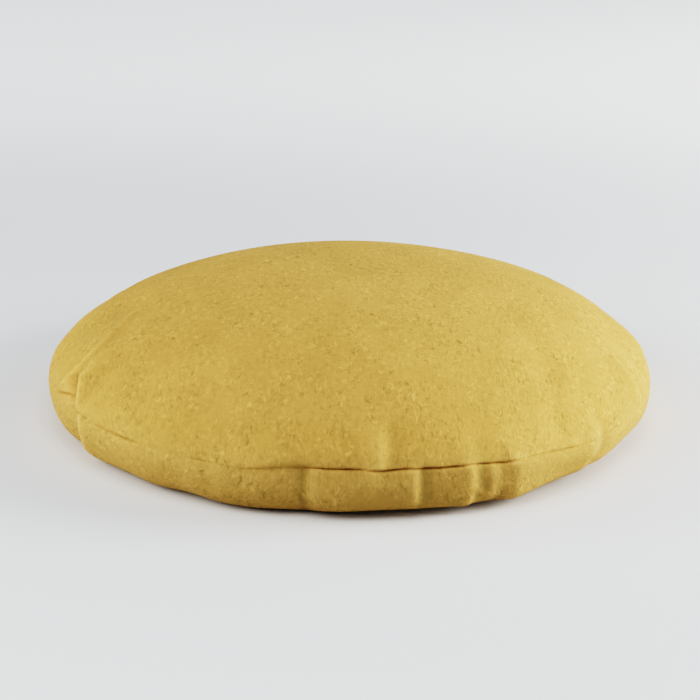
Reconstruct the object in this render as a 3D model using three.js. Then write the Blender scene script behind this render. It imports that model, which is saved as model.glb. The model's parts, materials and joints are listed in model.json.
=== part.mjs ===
// A low round floor pouf, in millimetres, with +Z up.
// Two discs of soft cover cloth are sewn together round the rim, turned and filled: a domed top panel,
// a thin sunken seam, and a bottom panel that turns under and lies flat on the floor.
// The origin is the middle of the flat foot. The side with the most creases faces -Y.

import * as THREE from 'three';
import { mergeVertices } from 'three/addons/utils/BufferGeometryUtils.js';

// Driving sizes
const DIAMETER = 603;
const HEIGHT = 145;
const SEAM_HEIGHT = 52;
const FOOT_DIAMETER = 524;
const RADIUS = DIAMETER / 2;
const FOOT_RADIUS = FOOT_DIAMETER / 2;
const CROWN_RISE = HEIGHT - SEAM_HEIGHT;

// How full each panel is: the powers of the superellipse that it follows, outwards and upwards.
// 2 and 2 would be an ellipse. The crown slopes evenly to the rim, and the side below it is boxier.
const CROWN_FULLNESS = { out: 2.49, up: 1.51 };
const SIDE_FULLNESS = { out: 2.15, up: 2.8 };

// The seam is drawn in all round.
const SEAM_DEPTH = 4;
const SEAM_HALF_WIDTH = 5;

// The rim rises and dips with the filling. Azimuth is in degrees, from +X towards +Y, and lift in mm.
const RIM_LIFTS = [
  { azimuth: -180, lift: 1 },
  { azimuth: -162, lift: 3 },
  { azimuth: -155, lift: 9 },
  { azimuth: -149, lift: 1 },
  { azimuth: -132, lift: -1 },
  { azimuth: -110, lift: -3 },
  { azimuth: -98, lift: 3 },
  { azimuth: -76, lift: 1 },
  { azimuth: -56, lift: -3 },
  { azimuth: -40, lift: -8 },
  { azimuth: -15, lift: -5 },
  { azimuth: 15, lift: 0 },
  { azimuth: 50, lift: 4 },
  { azimuth: 90, lift: 1 },
  { azimuth: 130, lift: -3 },
  { azimuth: 160, lift: 2 },
];
const LIFT_REACH = 130;

// Folds and puckers. A row is one fold, whose crest or bottom runs from one place to another.
// A place is an azimuth in degrees and a reach: the distance over the cloth from the seam in mm,
// up the top panel, or down the bottom panel where it is negative. Bow is how far the middle of the
// run bends round the rim, in degrees. Left and right are the fold's widths on its two sides, seen
// from outside, in mm. Rise is above 0 on a ridge and below 0 in a trough, in mm.
const FOLDS = [
  // The long crease on the left, the hollow beyond it, and the tuck beside it with its crest
  { from: [-159.6, 25], to: [-172, 110], bow: 4.6, left: 8, right: 8, rise: 3 },
  { from: [-173, 20], to: [-181, 110], bow: 0, left: 26, right: 26, rise: -4.5 },
  { from: [-156.4, 26], to: [-151.2, -34], bow: 2.2, left: 18, right: 8, rise: -6 },
  { from: [-156.6, 34], to: [-149, -30], bow: 2.6, left: 8, right: 16, rise: 2.5 },
  { from: [-156.9, 22], to: [-154.2, 8], bow: 0, left: 10, right: 8, rise: -4.2 },
  // The dimple and the slack cloth at the lower left
  { from: [-117, -2], to: [-116, -16], bow: 0, left: 10, right: 10, rise: -1.5 },
  { from: [-124, -32], to: [-122, -62], bow: 0, left: 30, right: 30, rise: -3 },
  { from: [-138, -32], to: [-138, -62], bow: 0, left: 36, right: 36, rise: -2.5 },
  // Puckers of the bottom panel below the front seam, each with a slow side and a steep one
  { from: [-98, -3], to: [-98.4, -40], bow: 0, left: 34, right: 9, rise: -5 },
  { from: [-91.5, -5], to: [-91.5, -36], bow: 0, left: 13, right: 40, rise: 1.8 },
  { from: [-86, -2], to: [-86, -18], bow: 0, left: 10, right: 8, rise: 1 },
  { from: [-78.6, -3], to: [-78.2, -25], bow: 0, left: 26, right: 8, rise: 4.2 },
  { from: [-76.4, -3], to: [-76.4, -26], bow: 0, left: 8, right: 10, rise: -1.4 },
  { from: [-68.1, -3], to: [-68, -38], bow: 0, left: 34, right: 8, rise: 5 },
  { from: [-63.8, -3], to: [-63.6, -24], bow: 0, left: 10, right: 8, rise: 2.6 },
  { from: [-59, -3], to: [-58.4, -36], bow: 0, left: 14, right: 40, rise: 6.2 },
  { from: [-78, -10], to: [-78, -60], bow: 0, left: 80, right: 80, rise: -3.2 },
  // Faint puckers of the top panel above it
  { from: [-105, 6], to: [-105, 44], bow: 0, left: 26, right: 40, rise: 1.8 },
  { from: [-85.2, 3], to: [-84.8, 18], bow: 0, left: 15, right: 10, rise: 2.6 },
  { from: [-82.4, 6], to: [-82, 34], bow: 0, left: 8, right: 12, rise: -1.3 },
  { from: [-60.6, 3], to: [-60.2, 34], bow: 0, left: 14, right: 12, rise: 1.3 },
  // The soft trough across the right of the top panel
  { from: [-47, 20], to: [-40, 78], bow: 0, left: 16, right: 16, rise: -1.6 },
  { from: [-39, 78], to: [-27, 150], bow: 0, left: 20, right: 20, rise: -1.6 },
  // The crease at the lower right with its crest, and the slack cloth on both sides of it
  { from: [-35.5, 4], to: [-37, -36], bow: 0, left: 9, right: 14, rise: -1.6 },
  { from: [-38.8, 2], to: [-40.4, -30], bow: 0, left: 12, right: 8, rise: 1.5 },
  { from: [-46, -30], to: [-42, -64], bow: 0, left: 62, right: 100, rise: -6.2 },
  { from: [-24, -20], to: [-20, -58], bow: 0, left: 50, right: 60, rise: -4.5 },
  // The crease over the right of the rim
  { from: [-20, 0], to: [-15.6, 56], bow: 0, left: 14, right: 8, rise: 1.8 },
  { from: [-9, 4], to: [-7, 46], bow: 0, left: 16, right: 16, rise: -1.5 },
  // Slack cloth at the left behind, at the right behind, and low down all along the back
  { from: [163, 8], to: [154, 56], bow: 0, left: 48, right: 48, rise: -4 },
  { from: [10, 6], to: [22, 56], bow: 0, left: 50, right: 50, rise: -2.2 },
  { from: [90, -14], to: [90, -58], bow: 0, left: 170, right: 170, rise: -5 },
  // The rest of the rim, behind
  { from: [6, 2], to: [8, 44], bow: 0, left: 9, right: 14, rise: 1.4 },
  { from: [12, -2], to: [12, -34], bow: 0, left: 16, right: 8, rise: 3.5 },
  { from: [21, 3], to: [20, 34], bow: 0, left: 8, right: 8, rise: -1.3 },
  { from: [27, -4], to: [28, -30], bow: 0, left: 8, right: 14, rise: 3 },
  { from: [38, 2], to: [40, 42], bow: -1, left: 9, right: 12, rise: 1.5 },
  { from: [44, -2], to: [45, -40], bow: 0, left: 20, right: 8, rise: 4.5 },
  { from: [52, -3], to: [51, -26], bow: 0, left: 8, right: 9, rise: 2.2 },
  { from: [63, 2], to: [62, 34], bow: 0, left: 12, right: 8, rise: 1.3 },
  { from: [70, -3], to: [70, -36], bow: 0, left: 8, right: 18, rise: 4 },
  { from: [84, -2], to: [85, -24], bow: 0, left: 8, right: 8, rise: 2.5 },
  { from: [90, 3], to: [91.5, 36], bow: 0, left: 10, right: 9, rise: 1.3 },
  { from: [97, -3], to: [96, -40], bow: 0, left: 22, right: 9, rise: 4.5 },
  { from: [108, 2], to: [106, 30], bow: 0, left: 9, right: 9, rise: -1.2 },
  { from: [114, -4], to: [114, -32], bow: 0, left: 8, right: 16, rise: 3 },
  { from: [124, 4], to: [126.5, 44], bow: 1, left: 9, right: 13, rise: 1.8 },
  { from: [130, -2], to: [130, -38], bow: 0, left: 18, right: 8, rise: 4 },
  { from: [141, -3], to: [140, -24], bow: 0, left: 8, right: 8, rise: 2 },
  { from: [149, 2], to: [151, 40], bow: 0, left: 9, right: 13, rise: 1.5 },
  { from: [157, -3], to: [158, -36], bow: 0, left: 8, right: 20, rise: 4 },
  { from: [170, -3], to: [169, -28], bow: 0, left: 12, right: 8, rise: 2.5 },
  { from: [170, 10], to: [174, 34], bow: 0, left: 34, right: 34, rise: -1.8 },
];
const FOLD_FADE = 16;
const SEAM_STOPS = 3;

// The filling leaves the crown slightly lumpy: broad swells, each with its place and spread in mm.
const SWELLS = [
  { x: -150, y: 60, spread: 120, rise: -1.5 },
  { x: 130, y: 90, spread: 110, rise: -1.5 },
  { x: 60, y: -150, spread: 90, rise: 2 },
  { x: -110, y: -150, spread: 90, rise: -2 },
];

// Rings of the mesh, as distances over the cloth from the seam, and the steps round the rim
const CROWN_REACHES = [4, 10, 18, 28, 40, 54, 70, 90, 112, 136, 162, 192, 224, 258, 292];
const SIDE_SHARES = [0.06, 0.14, 0.25, 0.37, 0.49, 0.61, 0.73, 0.86, 1];
const RIM_STEPS = 200;

// One quarter of a superellipse, from (outer, 0) at its start to (inner, rise) at its end.
class PanelCurve extends THREE.Curve {
  constructor(inner, outer, rise, fullness) {
    super();
    Object.assign(this, { inner, outer, rise, fullness });
    this.arcLengthDivisions = 2000;
  }

  getPoint(t, target = new THREE.Vector2()) {
    const turn = t * Math.PI / 2;
    const out = Math.max(Math.cos(turn), 0) ** (2 / this.fullness.out);
    const up = Math.sin(turn) ** (2 / this.fullness.up);
    return target.set(this.inner + (this.outer - this.inner) * out, this.rise * up);
  }
}

const crown = new PanelCurve(0, RADIUS, CROWN_RISE, CROWN_FULLNESS);
const side = new PanelCurve(FOOT_RADIUS, RADIUS, -SEAM_HEIGHT, SIDE_FULLNESS);

// One ring of the outline: its radius and height, its reach from the seam, and the way out of the cloth.
function ringOn(curve, share, direction) {
  const point = curve.getPointAt(share);
  const tangent = curve.getTangentAt(THREE.MathUtils.clamp(share, 0.002, 0.998));
  const outward = new THREE.Vector2(tangent.y, -tangent.x).multiplyScalar(direction);
  const reach = direction * share * curve.getLength();
  return { radius: point.x, height: SEAM_HEIGHT + point.y, reach, outward };
}

// The outline from the middle of the foot, round the side and the seam, to the middle of the crown.
function outlineRings() {
  const down = new THREE.Vector2(0, -1);
  const up = new THREE.Vector2(0, 1);
  const footMiddle = { radius: 0, height: 0, reach: -side.getLength() - FOOT_RADIUS, outward: down };
  const crownMiddle = { radius: 0, height: HEIGHT, reach: crown.getLength(), outward: up };
  const sideRings = SIDE_SHARES.map((share) => ringOn(side, share, -1)).reverse();
  const crownRings = [0, ...CROWN_REACHES].map((reach) => ringOn(crown, reach / crown.getLength(), 1));
  return [footMiddle, ...sideRings, ...crownRings, crownMiddle];
}

// The smallest turn from one azimuth to another, in degrees.
const turnBetween = (from, to) => THREE.MathUtils.euclideanModulo(to - from + 180, 360) - 180;

// The rim's lift at an azimuth, eased between the rows of RIM_LIFTS.
function rimLift(azimuth) {
  const before = RIM_LIFTS.findLastIndex((row) => row.azimuth <= azimuth);
  const row = RIM_LIFTS[before];
  const next = RIM_LIFTS[(before + 1) % RIM_LIFTS.length];
  const gap = THREE.MathUtils.euclideanModulo(next.azimuth - row.azimuth, 360);
  const share = THREE.MathUtils.smoothstep((azimuth - row.azimuth) / gap, 0, 1);
  return THREE.MathUtils.lerp(row.lift, next.lift, share);
}

// How much of the rim's lift a ring takes: all of it at the seam, and none at the foot or well up the crown.
function liftShare(reach) {
  if (reach < 0) return Math.max(1 + reach / side.getLength(), 0);
  return 1 - THREE.MathUtils.smoothstep(reach, 0, LIFT_REACH);
}

// One fold's rise at a point: a rounded ridge or trough that fades out within FOLD_FADE of its two ends,
// and SEAM_STOPS times as soon where it would run on past the seam.
function foldRise(fold, azimuth, reach, radius) {
  const [startAzimuth, startReach] = fold.from;
  const [endAzimuth, endReach] = fold.to;
  const along = (reach - startReach) / (endReach - startReach);
  const overrun = Math.max(-along, along - 1, 0) * Math.abs(endReach - startReach);
  const share = THREE.MathUtils.clamp(along, 0, 1);
  const middle = THREE.MathUtils.lerp(startAzimuth, endAzimuth, share) + 4 * fold.bow * share * (1 - share);
  const across = THREE.MathUtils.degToRad(turnBetween(middle, azimuth)) * radius;
  const width = across < 0 ? fold.left : fold.right;
  const pastSeam = startReach * endReach > 0 && reach * endReach < 0;
  const fade = Math.min(fold.left + fold.right, FOLD_FADE) / (pastSeam ? SEAM_STOPS : 1);
  return fold.rise * Math.exp(-((across / width) ** 2) - (overrun / fade) ** 2);
}

// How far the cloth stands out of the even outline at a point.
function clothRise(azimuth, reach, radius, x, y) {
  const creases = FOLDS.reduce((sum, fold) => sum + foldRise(fold, azimuth, reach, radius), 0);
  const seam = -SEAM_DEPTH * Math.exp(-((reach / SEAM_HALF_WIDTH) ** 2));
  const swells = SWELLS.reduce((sum, swell) => {
    const away = ((x - swell.x) ** 2 + (y - swell.y) ** 2) / swell.spread ** 2;
    return sum + swell.rise * Math.exp(-away);
  }, 0);
  return creases + seam + (reach > 0 ? swells : 0);
}

// The filled cushion: the outline turned round the Z axis, then creased. The foot stays flat.
function cushionGeometry() {
  const rings = outlineRings();
  const outline = rings.map((ring) => new THREE.Vector2(ring.radius, ring.height));
  const geometry = new THREE.LatheGeometry(outline, RIM_STEPS);
  geometry.rotateX(Math.PI / 2);
  const position = geometry.getAttribute('position');
  for (let i = 0; i < position.count; i++) {
    const ring = rings[i % rings.length];
    if (ring.height < 1e-6) continue;
    const x = position.getX(i);
    const y = position.getY(i);
    const azimuth = THREE.MathUtils.radToDeg(Math.atan2(y, x));
    const rise = clothRise(azimuth, ring.reach, ring.radius, x, y);
    const around = ring.radius > 0 ? 1 + (rise * ring.outward.x) / ring.radius : 1;
    const height = ring.height + rise * ring.outward.y + rimLift(azimuth) * liftShare(ring.reach);
    position.setXYZ(i, x * around, y * around, Math.max(height, 0.5));
  }
  geometry.deleteAttribute('normal');
  geometry.deleteAttribute('uv');
  return mergeVertices(geometry, 1e-3);
}

function pouf() {
  const cloth = new THREE.MeshStandardMaterial({ color: 0xc9a954, roughness: 0.95, metalness: 0 });
  const cushion = new THREE.Mesh(cushionGeometry(), cloth);
  cushion.name = 'pouf_cushion';
  const group = new THREE.Group();
  group.add(cushion);
  return group;
}

export default pouf();
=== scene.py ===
import json
import math

import bpy
import numpy as np
from mathutils import Matrix, Vector

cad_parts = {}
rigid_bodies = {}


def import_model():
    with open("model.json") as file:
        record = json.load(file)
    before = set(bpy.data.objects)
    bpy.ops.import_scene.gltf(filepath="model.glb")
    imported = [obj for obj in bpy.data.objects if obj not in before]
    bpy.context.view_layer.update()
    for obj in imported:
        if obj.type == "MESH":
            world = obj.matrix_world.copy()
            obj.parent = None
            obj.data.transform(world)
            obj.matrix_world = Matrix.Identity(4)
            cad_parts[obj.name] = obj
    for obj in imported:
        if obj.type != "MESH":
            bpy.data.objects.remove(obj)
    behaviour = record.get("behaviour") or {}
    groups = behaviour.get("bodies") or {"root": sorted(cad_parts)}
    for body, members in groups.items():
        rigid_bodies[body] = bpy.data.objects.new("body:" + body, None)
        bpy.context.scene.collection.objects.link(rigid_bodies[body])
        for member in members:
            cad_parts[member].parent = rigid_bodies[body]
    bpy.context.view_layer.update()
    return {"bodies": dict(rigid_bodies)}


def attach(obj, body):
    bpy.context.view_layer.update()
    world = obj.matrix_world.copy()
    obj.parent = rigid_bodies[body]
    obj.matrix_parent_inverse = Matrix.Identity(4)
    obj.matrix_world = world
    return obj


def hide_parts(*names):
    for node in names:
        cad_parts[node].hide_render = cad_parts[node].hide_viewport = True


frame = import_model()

root_body = next(iter(frame["bodies"]))

# The cover: two discs of brushed mustard cloth, sewn face to face round the rim, turned right side out and
# filled. The top panel is domed, and the bottom panel rolls under and lies flat on the floor. Its sizes are
# in millimetres, and its mesh is in metres.

DIAMETER, HEIGHT = 603.0, 145.0
SEAM_HEIGHT, FOOT_DIAMETER = 52.0, 524.0
CROWN_OUT, CROWN_UP = 2.49, 1.51
SIDE_OUT, SIDE_UP = 2.15, 2.8
FOOT_RADIUS = FOOT_DIAMETER / 2

# The rim rises and dips with the filling: azimuth in degrees from +X towards +Y, and lift in millimetres.
rim_lifts = np.array([
    (-180, 1), (-162, 3), (-155, 9), (-149, 1), (-132, -1), (-110, -3), (-98, 3), (-76, 1),
    (-56, -3), (-40, -8), (-15, -5), (15, 0), (50, 4), (90, 1), (130, -3), (160, 2),
], float)
# The lift dies away over this much of the crown.
LIFT_REACH = 130.0


# One quarter of a superellipse, walked in even steps from the seam to the crown or to the foot.
def panel_curve(inner, outer, rise, out, up):
    turn = np.linspace(0, math.pi / 2, 4001)
    radius = inner + (outer - inner) * np.cos(turn).clip(0) ** (2 / out)
    height = SEAM_HEIGHT + rise * np.sin(turn) ** (2 / up)
    walked = np.concatenate([[0], np.cumsum(np.hypot(np.diff(radius), np.diff(height)))])
    return walked, radius, height

crown = panel_curve(0, DIAMETER / 2, HEIGHT - SEAM_HEIGHT, CROWN_OUT, CROWN_UP)
side = panel_curve(FOOT_RADIUS, DIAMETER / 2, -SEAM_HEIGHT, SIDE_OUT, SIDE_UP)
CROWN_LENGTH, SIDE_LENGTH = crown[0][-1], side[0][-1]


# The even outline at each reach, which is the distance over the cloth from the seam: up the crown above 0,
# and down the side and along the foot below 0.
def outline_at(reach):
    under = (-reach - SIDE_LENGTH).clip(0)
    on_crown = [np.interp(reach, crown[0], line) for line in crown[1:]]
    on_side = [np.interp(-reach, side[0], line) for line in side[1:]]
    radius = np.where(reach >= 0, on_crown[0], on_side[0] - under)
    height = np.where(reach >= 0, on_crown[1], on_side[1])
    return radius, height


# Folds and puckers, a row each: start azimuth and reach, end azimuth and reach, how far its middle bows
# round the rim in degrees, its width to the left and to the right seen from outside, its rise, and its
# pinch. A pinch of 2 is a round fold, and nearer 1 it is a sharp one.
folds = np.array([
    # the long crease on the left, the hollow beyond it, and the tuck beside it with its crest
    (-159.6, 25, -172, 110, 4.6, 8, 5.5, 3, 1.4),
    (-173, 20, -181, 110, 0, 26, 26, -4.5, 2),
    (-156.4, 26, -151.2, -34, 2.2, 18, 7, -6, 1.8),
    (-156.6, 34, -149, -30, 2.6, 5, 16, 2.5, 1.6),
    (-156.9, 22, -154.2, 8, 0, 10, 5, -4.2, 1.6),
    # the dimple and the slack cloth at the lower left
    (-117, -2, -116, -16, 0, 10, 10, -1.5, 2),
    (-124, -32, -122, -62, 0, 30, 30, -3, 2),
    (-138, -32, -138, -62, 0, 36, 36, -2.5, 2),
    # puckers of the bottom panel below the front seam, each with a slow side and a steep one
    (-98, -3, -98.4, -40, 0, 34, 9, -5, 1.4),
    (-91.5, -5, -91.5, -36, 0, 13, 40, 1.8, 2),
    (-86, -2, -86, -18, 0, 10, 6, 1, 2),
    (-78.6, -3, -78.2, -25, 0, 26, 6, 4.2, 1.4),
    (-76.4, -3, -76.4, -26, 0, 7, 10, -1.4, 2),
    (-68.1, -3, -68, -38, 0, 34, 8, 5, 1.4),
    (-63.8, -3, -63.6, -24, 0, 10, 7, 2.6, 1.6),
    (-59, -3, -58.4, -36, 0, 14, 40, 6.2, 1.5),
    (-78, -10, -78, -60, 0, 80, 80, -3.2, 2),
    # faint puckers of the top panel above it
    (-105, 6, -105, 44, 0, 26, 40, 1.8, 2),
    (-85.2, 3, -84.8, 18, 0, 15, 10, 2.6, 1.9),
    (-91, 14, -91, 34, 0, 12, 12, -0.8, 2),
    (-82.4, 6, -82, 34, 0, 7, 12, -1.3, 2),
    (-69, 3, -69, 18, 0, 10, 9, 0.8, 1.8),
    (-60.6, 3, -60.2, 34, 0, 14, 12, 1.3, 1.6),
    # the soft trough across the right of the top panel
    (-47, 20, -40, 78, 0, 16, 16, -1.6, 2),
    (-39, 78, -27, 150, 0, 20, 20, -1.6, 2),
    # the crease at the lower right with its crest, and the slack cloth on both sides of it
    (-35.5, 4, -37, -36, 0, 9, 14, -1.6, 1.5),
    (-38.8, 2, -40.4, -30, 0, 12, 8, 1.5, 1.5),
    (-46, -30, -42, -64, 0, 62, 100, -6.2, 2),
    (-24, -20, -20, -58, 0, 50, 60, -4.5, 2),
    # the crease over the right of the rim
    (-20, 0, -15.6, 56, 0, 14, 7, 1.8, 1.5),
    (-9, 4, -7, 46, 0, 16, 16, -1.5, 2),
    # slack cloth at the left behind, at the right behind, and low down all along the back
    (163, 8, 154, 56, 0, 48, 48, -4, 2),
    (10, 6, 22, 56, 0, 50, 50, -2.2, 2),
    (90, -14, 90, -58, 0, 170, 170, -5, 2),
    # the rest of the rim, out of the photograph's sight
    (6, 2, 8, 44, 0, 9, 14, 1.4, 1.6),
    (12, -2, 12, -34, 0, 16, 7, 3.5, 1.6),
    (21, 3, 20, 34, 0, 8, 8, -1.3, 2),
    (27, -4, 28, -30, 0, 7, 14, 3, 1.6),
    (38, 2, 40, 42, -1, 9, 12, 1.5, 1.8),
    (44, -2, 45, -40, 0, 20, 8, 4.5, 1.5),
    (52, -3, 51, -26, 0, 7, 9, 2.2, 1.8),
    (63, 2, 62, 34, 0, 12, 8, 1.3, 1.8),
    (70, -3, 70, -36, 0, 8, 18, 4, 1.5),
    (84, -2, 85, -24, 0, 8, 8, 2.5, 1.8),
    (90, 3, 91.5, 36, 0, 10, 9, 1.3, 1.8),
    (97, -3, 96, -40, 0, 22, 9, 4.5, 1.5),
    (108, 2, 106, 30, 0, 9, 9, -1.2, 2),
    (114, -4, 114, -32, 0, 7, 16, 3, 1.6),
    (124, 4, 126.5, 44, 1, 9, 13, 1.8, 1.8),
    (130, -2, 130, -38, 0, 18, 8, 4, 1.5),
    (141, -3, 140, -24, 0, 7, 8, 2, 1.8),
    (149, 2, 151, 40, 0, 9, 13, 1.5, 1.8),
    (157, -3, 158, -36, 0, 8, 20, 4, 1.5),
    (170, -3, 169, -28, 0, 12, 8, 2.5, 1.6),
    (170, 10, 174, 34, 0, 34, 34, -1.8, 2),
])
# A fold fades out past its two ends, and sooner where the seam stops it.
FOLD_FADE, SEAM_STOPS = 16.0, 3.0

# Broad swells of the filling under the crown: x, y, spread and rise.
swells = np.array([
    (-150, 60, 120, -1.5), (130, 90, 110, -1.5), (60, -150, 90, 2), (-110, -150, 90, -2),
], float)


# The creased cloth at every crossing of these azimuths and reaches, in millimetres.
def cloth(azimuths, reaches):
    az, reach = np.meshgrid(np.degrees(azimuths), reaches)
    radius, height = outline_at(reach)
    ahead, above = outline_at(reach + 0.5)
    behind, below = outline_at(reach - 0.5)
    run, climb = ahead - behind, above - below
    length = np.hypot(run, climb).clip(1e-9)
    out, up = climb / length, -run / length
    rise = np.zeros_like(az)
    for start, start_reach, end, end_reach, bow, left, right, high, pinch in folds:
        along = (reach - start_reach) / (end_reach - start_reach)
        overrun = np.maximum(np.maximum(-along, along - 1), 0) * abs(end_reach - start_reach)
        t = along.clip(0, 1)
        middle = start + (end - start) * t + 4 * bow * t * (1 - t)
        across = np.radians((az - middle + 180) % 360 - 180) * radius
        width = np.where(across < 0, left, right)
        past_seam = (start_reach * end_reach > 0) & (reach * end_reach < 0)
        overrun *= np.where(past_seam, SEAM_STOPS, 1)
        fade = np.exp(-((overrun / min(left + right, FOLD_FADE)) ** 2))
        rise += high * fade * np.exp(-np.abs(across / width) ** pinch)
    x, y = radius * np.cos(np.radians(az)), radius * np.sin(np.radians(az))
    for sx, sy, spread, high in swells:
        rise += np.where(reach > 0, high * np.exp(-((x - sx) ** 2 + (y - sy) ** 2) / spread ** 2), 0)
    i = np.searchsorted(rim_lifts[:, 0], az, side="right") - 1
    here, there = rim_lifts[i], rim_lifts[(i + 1) % len(rim_lifts)]
    share = (az - here[..., 0]) / ((there[..., 0] - here[..., 0]) % 360)
    lift = here[..., 1] + (there[..., 1] - here[..., 1]) * share * share * (3 - 2 * share)
    near = (reach / LIFT_REACH).clip(0, 1)
    held = np.where(reach < 0, (1 + reach / SIDE_LENGTH).clip(0, 1), 1 - near * near * (3 - 2 * near))
    rise *= (height > 1e-6)
    radius = radius + rise * out
    height = height + rise * up + lift * held * (height > 1e-6)
    return np.stack([radius * np.cos(np.radians(az)), radius * np.sin(np.radians(az)), height], -1)


# The rings lie closest together at the seam: part of their spacing is even, and the rest grows by these
# powers. The first and the last ring are this far from the middle of the foot and of the crown.
EVEN_SPACING, GROWS_BELOW, GROWS_ABOVE, LAST_RING = 0.12, 2.6, 2.0, 2.0


def ring_reaches(count):
    step = np.linspace(-1, 1, count)
    growing = 1 - EVEN_SPACING
    down = EVEN_SPACING * -step + growing * (-step).clip(0) ** GROWS_BELOW
    up = EVEN_SPACING * step + growing * step.clip(0) ** GROWS_ABOVE
    lowest, highest = -(SIDE_LENGTH + FOOT_RADIUS - LAST_RING), CROWN_LENGTH - LAST_RING
    return np.where(step < 0, lowest * down, highest * up)


# A closed mesh through the rings of a grid, with a point in the middle of the foot and of the crown.
def cloth_mesh(name, grid):
    rings, around = grid.shape[:2]
    bottom = grid[0].mean(0) * (1, 1, 0)
    top = grid[-1].mean(0)
    verts = np.vstack([grid.reshape(-1, 3), bottom, top]) * 0.001
    faces = []
    for r in range(rings - 1):
        for a in range(around):
            b = (a + 1) % around
            faces.append((r * around + a, r * around + b, (r + 1) * around + b, (r + 1) * around + a))
    low, high = rings * around, rings * around + 1
    last = (rings - 1) * around
    for a in range(around):
        b = (a + 1) % around
        faces.append((low, b, a))
        faces.append((high, last + a, last + b))
    mesh = bpy.data.meshes.new(name)
    mesh.from_pydata(verts.tolist(), [], faces)
    mesh.polygons.foreach_set("use_smooth", [True] * len(faces))
    mesh.update()
    piece = bpy.data.objects.new(name, mesh)
    bpy.context.collection.objects.link(piece)
    return piece


AROUND, RINGS = 720, 129
azimuths = np.linspace(-math.pi, math.pi, AROUND, endpoint=False)
reaches = ring_reaches(RINGS)
points = cloth(azimuths, reaches)

# The filling presses the cover out. The panels were cut as flat discs, so round the seam there is more cloth
# than the rim has room for, and it buckles into folds. Cloth of that cut is pressed out here on every second
# ring and step, its broad swelling is taken off again, and what is left is added to the cover.
SPARE_CLOTH, SPARE_REACH = 0.03, 45.0
PRESS_FRAMES, MOST_MOVE, BROAD_WAVES = 14, 6.0, 5
# The buckles end this far up the crown and die away before it, and do the same a little above the floor.
PRESSED_UP, PRESSED_FADE, FLOOR_FADE = 120.0, 70.0, 12.0

# How freely the cloth buckles round the rim: azimuth, and the share above the seam and below it, which blend
# into each other across the seam.
fullness = np.array([
    (-180, 0.3, 0.3), (-165, 0.3, 0.3), (-140, 0.2, 0.2), (-106, 0.2, 0.3),
    (-98, 0.3, 0.7), (-60, 0.3, 0.7), (-50, 0.2, 0.3), (-20, 0.2, 0.2),
    (0, 0.4, 0.4), (25, 0.45, 0.8), (155, 0.45, 0.8), (180, 0.3, 0.3),
])
SEAM_BLEND = 8.0


# The grid with one more line halfway between every two, on a smooth curve through them.
def between(grid, axis, closed):
    size = grid.shape[axis]

    def shifted(step):
        places = np.arange(size) + step
        return np.take(grid, places % size if closed else places.clip(0, size - 1), axis)

    middle = (9 * (grid + shifted(1)) - shifted(-1) - shifted(2)) / 16
    both = np.stack([grid, middle], axis + 1)
    shape = list(grid.shape)
    shape[axis] *= 2
    both = both.reshape(shape)
    return both if closed else np.take(both, np.arange(2 * size - 1), axis)


# Where the points of the cloth come to lie when the filling presses on cloth of the flat panels' cut.
def pressed_out(start, azimuths, reaches):
    walk = np.linspace(reaches[0], reaches[-1], 6001)
    radius = outline_at(walk)[0] * (1 + SPARE_CLOTH * np.exp(-np.abs(walk) / SPARE_REACH))
    climb = np.sqrt((1 - np.gradient(radius, walk) ** 2).clip(0))
    height = np.concatenate([[0], np.cumsum((climb[1:] + climb[:-1]) / 2 * np.diff(walk))])
    cut_radius, cut_height = np.interp(reaches, walk, radius), np.interp(reaches, walk, height)
    cut = np.stack([np.outer(cut_radius, np.cos(azimuths)), np.outer(cut_radius, np.sin(azimuths)),
                    np.repeat(cut_height[:, None], len(azimuths), 1)], -1)
    trial = cloth_mesh("trial", start)
    trial.shape_key_add(name="shape")
    key = trial.shape_key_add(name="cut")
    ends = [cut[0].mean(0), cut[-1].mean(0)]
    key.data.foreach_set("co", (np.vstack([cut.reshape(-1, 3), ends]) * 0.001).astype(np.float32).ravel())
    held = trial.vertex_groups.new(name="on the floor")
    held.add(np.nonzero(start.reshape(-1, 3)[:, 2] < 0.5)[0].tolist() + [start[..., 0].size], 1, "REPLACE")
    press = trial.modifiers.new("press", "CLOTH")
    press.settings.rest_shape_key = key
    press.settings.quality = 6
    press.settings.mass = 0.3
    press.settings.tension_stiffness = press.settings.compression_stiffness = 25
    press.settings.shear_stiffness = 5
    press.settings.bending_stiffness = 3
    press.settings.air_damping = 4
    press.settings.use_pressure = True
    press.settings.uniform_pressure_force = 4
    press.settings.effector_weights.gravity = 0
    press.settings.vertex_group_mass = "on the floor"
    for frame_number in range(1, PRESS_FRAMES + 1):
        bpy.context.scene.frame_set(frame_number)
    pressed = trial.evaluated_get(bpy.context.evaluated_depsgraph_get()).data
    place = np.empty(len(pressed.vertices) * 3, np.float32)
    pressed.vertices.foreach_get("co", place)
    bpy.data.objects.remove(trial)
    bpy.context.scene.frame_set(1)
    return place.reshape(-1, 3)[:start[..., 0].size].reshape(start.shape) * 1000.0


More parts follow.
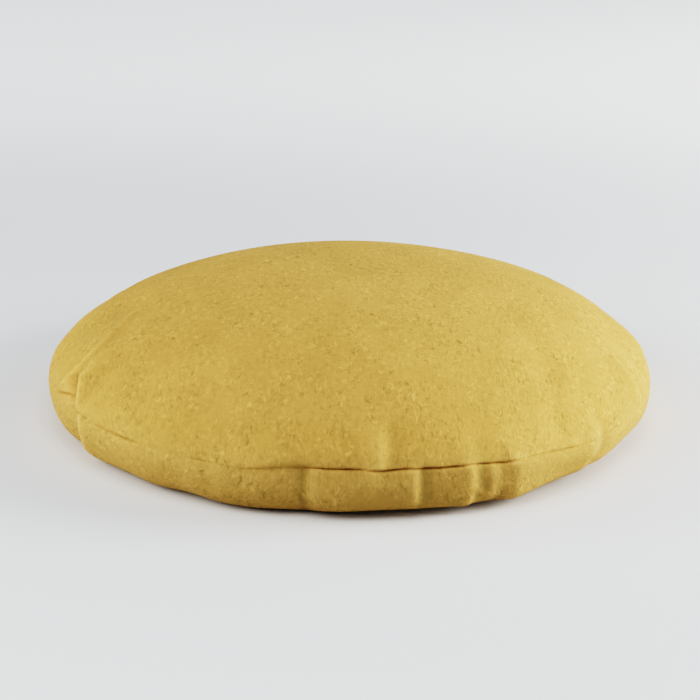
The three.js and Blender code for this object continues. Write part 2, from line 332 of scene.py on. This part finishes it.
start = points[::2, ::2]
moved = pressed_out(start, azimuths[::2], reaches[::2]) - start
around_way = np.stack([np.cos(azimuths[::2]), np.sin(azimuths[::2])], -1)[None]
outward = (moved[..., :2] * around_way).sum(-1)
sideways = moved[..., 1] * around_way[..., 0] - moved[..., 0] * around_way[..., 1]
parts = np.fft.rfft(np.stack([outward, sideways, moved[..., 2]], -1), axis=1)
parts[:, :BROAD_WAVES] = 0
outward, sideways, upward = np.moveaxis(np.fft.irfft(parts, axis=1), -1, 0)
moved = np.stack([outward * around_way[..., 0] - sideways * around_way[..., 1],
                  outward * around_way[..., 1] + sideways * around_way[..., 0], upward], -1)
far = np.linalg.norm(moved, axis=-1, keepdims=True).clip(1e-9)
moved *= MOST_MOVE * np.tanh(far / MOST_MOVE) / far
above_floor = reaches + SIDE_LENGTH - LAST_RING
slack = ((PRESSED_UP - reaches) / PRESSED_FADE).clip(0, 1) * (above_floor / FLOOR_FADE).clip(0, 1)
eased = (slack * slack * (3 - 2 * slack))[::2, None]
blend = (reaches[::2] / SEAM_BLEND).clip(-1, 1)[:, None] / 2 + 0.5
around = np.degrees(azimuths[::2])
above, below = (np.interp(around, fullness[:, 0], share)[None] for share in fullness.T[1:])
moved *= (eased * (above * blend + below * (1 - blend)))[..., None]
points = points + between(between(moved, 0, False), 1, True)

# The seam: both panels turn in to one sunken line, with the cloth full on both sides of it. Its depths, by
# azimuth: it breaks at the tuck on the left, and nearly closes between the left and the front.
seam_depths = np.array([
    (-180, 0.5), (-163, 0.6), (-161, 4), (-157, 6), (-153.6, 6), (-153.1, 0), (-152, 0), (-151.2, 4.5),
    (-147.5, 4), (-146, 0.9), (-143.5, 1.2), (-142.5, 3), (-138, 3.8), (-134.5, 5), (-132.5, 3),
    (-130.5, 0.6), (-110, 0.6), (-106, 1.2), (-101, 1.8), (-97, 2.8), (-93, 5), (-90, 6.5),
    (-87.5, 4.6), (-86.5, 3.2), (-85.5, 5), (-82, 6), (-79.5, 6), (-77.5, 4), (-76, 6.2), (-71, 6),
    (-69, 4), (-67, 4.5), (-62, 5.5), (-59, 3.5), (-54, 3.6), (-49, 3), (-46, 3), (-44, 1), (-38, 0.6),
    (-10, 0.6), (20, 3), (60, 5), (100, 4), (140, 5), (175, 2), (180, 0.5),
])
# How far up the cloth the seam strays from its even round: azimuth and reach.
seam_strays = np.array([
    (-180, 0), (-153, 0), (-152, -4), (-150, 0), (-143, -1.5), (-130, -1), (-110, 0), (-98, 0.6),
    (-93, -0.4), (-88, 0.5), (-84, -0.5), (-80, 0.6), (-74, -0.6), (-68, 0.5), (-62, -0.4), (-56, 0.4),
    (-48, 0), (180, 0),
])
# The line is this narrow, and lies in a shallow dip.
LINE_WIDTH, DIP_DEPTH, DIP_WIDTH = 1.1, 1.2, 8.0
reach_grid = np.repeat(reaches[:, None], AROUND, 1)
centre_way = np.stack([-np.cos(azimuths), -np.sin(azimuths), np.zeros(AROUND)], -1)[None]
depth = np.interp(np.degrees(azimuths), seam_depths[:, 0], seam_depths[:, 1])[None]
stray = np.interp(np.degrees(azimuths), seam_strays[:, 0], seam_strays[:, 1])[None]
sunk = depth * np.exp(-np.abs(reach_grid - stray) / LINE_WIDTH)
sunk = sunk + DIP_DEPTH * np.exp(-((reach_grid / DIP_WIDTH) ** 2))
points = points + centre_way * sunk[..., None]
points[..., 2] = points[..., 2].clip(0)
cover = cloth_mesh("cover", points)

# Where each point lay on its panel when the panel was a flat disc, in metres, with the bottom panel's disc
# beside the top one's. The same two discs, drawn small, are the map that the finish is kept on.
SEAM_RING = RINGS // 2
disc_reach = {True: CROWN_LENGTH, False: SIDE_LENGTH + FOOT_RADIUS}
flat_middle = {True: (0.0, 0.0), False: (1.0, 1.0)}
kept_middle = {True: (0.29, 0.29), False: (0.71, 0.71)}
KEPT_RADIUS = 0.275


def disc_places(upper, radius, middle):
    share = 1 - np.abs(reaches) / disc_reach[upper]
    across = np.stack([np.outer(share, np.cos(azimuths)), np.outer(share, np.sin(azimuths))], -1)
    return np.vstack([(across * radius + middle).reshape(-1, 2), middle, middle])


def add_disc_map(piece, name, radii, middles):
    places = {upper: disc_places(upper, radii[upper], middles[upper]) for upper in (True, False)}
    mesh = piece.data
    corner_points = np.empty(len(mesh.loops), np.int32)
    mesh.loops.foreach_get("vertex_index", corner_points)
    side_faces = (RINGS - 1) * AROUND
    face_ring = np.concatenate([np.repeat(np.arange(RINGS - 1), AROUND), np.tile([0, RINGS - 1], AROUND)])
    side_rings, end_rings = face_ring[:side_faces], face_ring[side_faces:]
    corner_ring = np.concatenate([np.repeat(side_rings, 4), np.repeat(end_rings, 3)])
    upper = corner_ring >= SEAM_RING
    both = np.where(upper[:, None], places[True][corner_points], places[False][corner_points])
    mesh.uv_layers.new(name=name).data.foreach_set("uv", both.astype(np.float32).ravel())


flat_radius = {upper: length * 0.001 for upper, length in disc_reach.items()}
add_disc_map(cover, "flat cloth", flat_radius, flat_middle)
add_disc_map(cover, "OFBake", {True: KEPT_RADIUS, False: KEPT_RADIUS}, kept_middle)

# How far each point stands above the cloth a few steps to its left and right: the crest of a fold is above
# 0. Only the folds round the rim count. The finish uses it to make the cloth lighter on each crest and
# darker in each crease. This is partly rubbed nap and partly painted highlight and painted shade.
CREST_STEPS, CRESTS_MIDDLE, CRESTS_SPAN = 3, 40, 110
to_sides = (np.roll(points, CREST_STEPS, 1) + np.roll(points, -CREST_STEPS, 1)) / 2 - points
around_step = np.roll(points, -1, 1) - np.roll(points, 1, 1)
facing = np.cross(around_step, np.gradient(points, axis=0))
facing /= np.linalg.norm(facing, axis=-1, keepdims=True).clip(1e-9)
crest = -(to_sides * facing).sum(-1)
crest -= np.median(crest, 1, keepdims=True)
crest[np.abs(reaches - CRESTS_MIDDLE) > CRESTS_SPAN] = 0
cover.data.attributes.new("crest", "FLOAT", "POINT").data.foreach_set(
    "value", np.append(crest.ravel(), [0, 0]).astype(np.float32))

# How far each point has turned under the rim: 0 from this reach up, and 1 well below the seam.
TURN_FROM, TURN_LENGTH = 20, 30
turned_under = ((TURN_FROM - reach_grid) / TURN_LENGTH).clip(0, 1)
cover.data.attributes.new("turned under", "FLOAT", "POINT").data.foreach_set(
    "value", np.append(turned_under.ravel(), [1, 0]).astype(np.float32))

# The cloth is matte, with a short brushed nap: sparse flecks and pins in loose clusters, a faint weave both
# ways, and broader patches that are a little lighter or darker. It also carries painted highlight and
# painted shade on the folds, and a painted shade tint where it turns under.
brushed = bpy.data.materials.new("brushed mustard cloth")
brushed.use_nodes = True
nodes, links = brushed.node_tree.nodes, brushed.node_tree.links
shader = nodes["Principled BSDF"]
shader.inputs["Roughness"].default_value = 0.92
shader.inputs["Specular IOR Level"].default_value = 0.12
shader.inputs["Sheen Weight"].default_value = 0.06
shader.inputs["Sheen Roughness"].default_value = 0.5
shader.inputs["Sheen Tint"].default_value = (1.0, 0.85, 0.35, 1)


def add_node(kind, settings=(), inputs=()):
    node = nodes.new(kind)
    for name, value in dict(settings).items():
        setattr(node, name, value)
    for name, value in dict(inputs).items():
        if isinstance(value, bpy.types.NodeSocket):
            links.new(value, node.inputs[name])
        else:
            node.inputs[name].default_value = value
    return node


def sum_of(first, *others):
    for other in others:
        first = add_node("ShaderNodeMath", {"operation": "ADD"}, {0: first, 1: other}).outputs[0]
    return first


def product(a, b):
    return add_node("ShaderNodeMath", {"operation": "MULTIPLY"}, {0: a, 1: b}).outputs[0]


# The same marks with the weak ones weaker, so that a few stand out.
def sparse(value):
    return product(value, add_node("ShaderNodeMath", {"operation": "ABSOLUTE"}, {0: value}).outputs[0])


flat = add_node("ShaderNodeUVMap", {"uv_map": "flat cloth"}).outputs["UV"]


# Uneven marks on the flat cloth, about so many metres long and wide, as a value round 0.
def marks(length_x, length_y, detail=1.0, twist=0.0):
    place = add_node("ShaderNodeMapping", {}, {"Vector": flat, "Scale": (1 / length_x, 1 / length_y, 1)})
    noise = add_node("ShaderNodeTexNoise", {}, {"Vector": place.outputs[0], "Scale": 1.0, "Detail": detail,
                                                "Distortion": twist})
    return sum_of(noise.outputs["Fac"], -0.5)


flecks = marks(0.0044, 0.0072, twist=1.1)
lengthways = marks(0.0027, 0.011)
crossways = marks(0.011, 0.0036)
patches = marks(0.045, 0.075, 2.0)
broad = marks(0.16, 0.2)
pins = marks(0.0028, 0.0046)
clusters = sum_of(0.92, product(marks(0.028, 0.045), 3.0))
# painted highlight and painted shade, partly real wear: lighter on the crest of each fold, as rubbed nap and
# as a lit ridge, and darker in its crease, where shade falls
crest_wear_and_shade = add_node("ShaderNodeAttribute", {"attribute_name": "crest"}).outputs["Fac"]

raised = sum_of(product(sparse(flecks), 5.4), product(sparse(lengthways), 1.9),
                product(sparse(sparse(pins)), 56.0))
tone = sum_of(0.5, product(raised, clusters), product(flecks, 0.2), product(crossways, 0.22),
              product(patches, 0.46), product(broad, 0.25), product(crest_wear_and_shade, 0.15))
DARK_MUSTARD, MUSTARD = (0.333, 0.218, 0.058, 1), (0.552, 0.315, 0.087, 1)
PALE_MUSTARD = (0.725, 0.425, 0.128, 1)
ramp = add_node("ShaderNodeValToRGB", {}, {"Fac": tone})
ramp.color_ramp.elements[0].color = DARK_MUSTARD
ramp.color_ramp.elements[1].color = PALE_MUSTARD
ramp.color_ramp.elements.new(0.5).color = MUSTARD
# painted shade: the colour is made a little greener and greyer where the cloth has turned under the rim, to
# stand in for the cooler shade there
PAINTED_SHADE_TINT = (0.985, 1.03, 1.13, 1)
under = add_node("ShaderNodeAttribute", {"attribute_name": "turned under"}).outputs["Fac"]
shade_tinted = add_node("ShaderNodeMix", {"data_type": "RGBA", "blend_type": "MULTIPLY"},
                  {"Factor": under, "A": ramp.outputs["Color"], "B": PAINTED_SHADE_TINT})
links.new(shade_tinted.outputs["Result"], shader.inputs["Base Color"])

height = sum_of(product(raised, 1.1), product(flecks, 0.4), product(crossways, 0.3))
bump = add_node("ShaderNodeBump", {}, {"Strength": 0.35, "Distance": 0.0012, "Height": height})
links.new(bump.outputs["Normal"], shader.inputs["Normal"])
cover.data.materials.append(brushed)

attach(cover, root_body)
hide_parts("pouf_cushion")

# The floor: a plain pale sheet, which isn't part of the pouf and only gives it something to stand on. Seen
# directly it is near white, and it throws back less light than that on the pouf.
FLOOR_REACH = 6
FLOOR_LIT, FLOOR_SEEN = (0.56, 0.56, 0.54, 1), (0.85, 0.85, 0.83, 1)
corners = [(x * FLOOR_REACH, y * FLOOR_REACH, 0) for x, y in ((-1, -1), (1, -1), (1, 1), (-1, 1))]
floor_mesh = bpy.data.meshes.new("floor")
floor_mesh.from_pydata(corners, [], [(0, 1, 2, 3)])
floor = bpy.data.objects.new("floor", floor_mesh)
bpy.context.collection.objects.link(floor)
pale = bpy.data.materials.new("pale floor")
pale.use_nodes = True
nodes, links = pale.node_tree.nodes, pale.node_tree.links
seen = add_node("ShaderNodeLightPath").outputs["Is Camera Ray"]
mixed = add_node("ShaderNodeMix", {"data_type": "RGBA"}, {"Factor": seen, "A": FLOOR_LIT, "B": FLOOR_SEEN})
links.new(mixed.outputs["Result"], nodes["Principled BSDF"].inputs["Base Color"])
nodes["Principled BSDF"].inputs["Roughness"].default_value = 0.9
floor.data.materials.append(pale)

# Light and camera: soft lamps all round in a dim, slightly blue room, and a long lens a little above the
# pouf, as the photograph shows it.
world = bpy.data.worlds.new("studio")
bpy.context.scene.world = world
world.use_nodes = True
world.node_tree.nodes["Background"].inputs["Color"].default_value = (0.65, 0.95, 1.4, 1)
world.node_tree.nodes["Background"].inputs["Strength"].default_value = 0.1


def soft_light(name, place, aim, size, watts, spread=180):
    data = bpy.data.lights.new(name, "AREA")
    data.spread = math.radians(spread)
    data.shape = "RECTANGLE"
    data.size, data.size_y = size
    data.energy = watts
    lamp = bpy.data.objects.new(name, data)
    bpy.context.collection.objects.link(lamp)
    way = Vector(aim) - Vector(place)
    lamp.matrix_world = Matrix.Translation(place) @ way.to_track_quat("-Z", "Y").to_matrix().to_4x4()


# Soft lamps stand round the pouf, each at its azimuth and elevation in degrees, with its watts.
LAMP_DISTANCE, LAMP_SIZE = 2.2, 1.2
lamps = {
    "right": (0, 15, 64),
    "right back": (40, 15, 13),
    "left": (180, 15, 28),
    "left front": (-140, 35, 15),
    "front": (-90, 60, 13.4),
}
middle = Vector((0, 0, 0.08))
for name, (azimuth, elevation, watts) in lamps.items():
    a, e = math.radians(azimuth), math.radians(elevation)
    away = Vector((math.cos(e) * math.cos(a), math.cos(e) * math.sin(a), math.sin(e)))
    soft_light(name, middle + LAMP_DISTANCE * away, middle, (LAMP_SIZE, LAMP_SIZE), watts)

# Four wide lamps hang over the floor round the pouf, too narrow in their spread to reach it: two long ones
# before and behind it, and two short ones at its sides.
FLOOR_LAMPS_UP, FLOOR_LAMPS_FROM, FLOOR_LAMPS_TO, FLOOR_LAMPS_SPREAD = 2.4, 1.05, 5.0, 30
FLOOR_WATTS_PER_SQUARE_METRE = 1.9
deep, away = FLOOR_LAMPS_TO - FLOOR_LAMPS_FROM, (FLOOR_LAMPS_TO + FLOOR_LAMPS_FROM) / 2
short_lamp, long_lamp = (deep, 2 * FLOOR_LAMPS_FROM), (2 * FLOOR_LAMPS_TO, deep)
floor_lamps = {
    "floor left": (-away, 0, short_lamp),
    "floor right": (away, 0, short_lamp),
    "floor front": (0, -away, long_lamp),
    "floor back": (0, away, long_lamp),
}
for name, (x, y, size) in floor_lamps.items():
    watts = FLOOR_WATTS_PER_SQUARE_METRE * size[0] * size[1]
    soft_light(name, (x, y, FLOOR_LAMPS_UP), (x, y, 0), size, watts, FLOOR_LAMPS_SPREAD)

CAMERA_DISTANCE, CAMERA_ELEVATION, CAMERA_ROLL = 3.0, 18.97, 0.46
camera_data = bpy.data.cameras.new("camera")
camera_data.sensor_width = 36
camera_data.lens = 153.9
camera = bpy.data.objects.new("camera", camera_data)
bpy.context.collection.objects.link(camera)
bpy.context.scene.camera = camera
aim = Vector((-0.00006, 0, 0.067))
elevation = math.radians(CAMERA_ELEVATION)
place = aim + CAMERA_DISTANCE * Vector((0, -math.cos(elevation), math.sin(elevation)))
level = (aim - place).to_track_quat("-Z", "Y").to_matrix().to_4x4()
camera.matrix_world = Matrix.Translation(place) @ level @ Matrix.Rotation(math.radians(CAMERA_ROLL), 4, "Z")

bpy.context.scene.view_settings.view_transform = "Filmic"
bpy.context.scene.view_settings.look = "Very High Contrast"
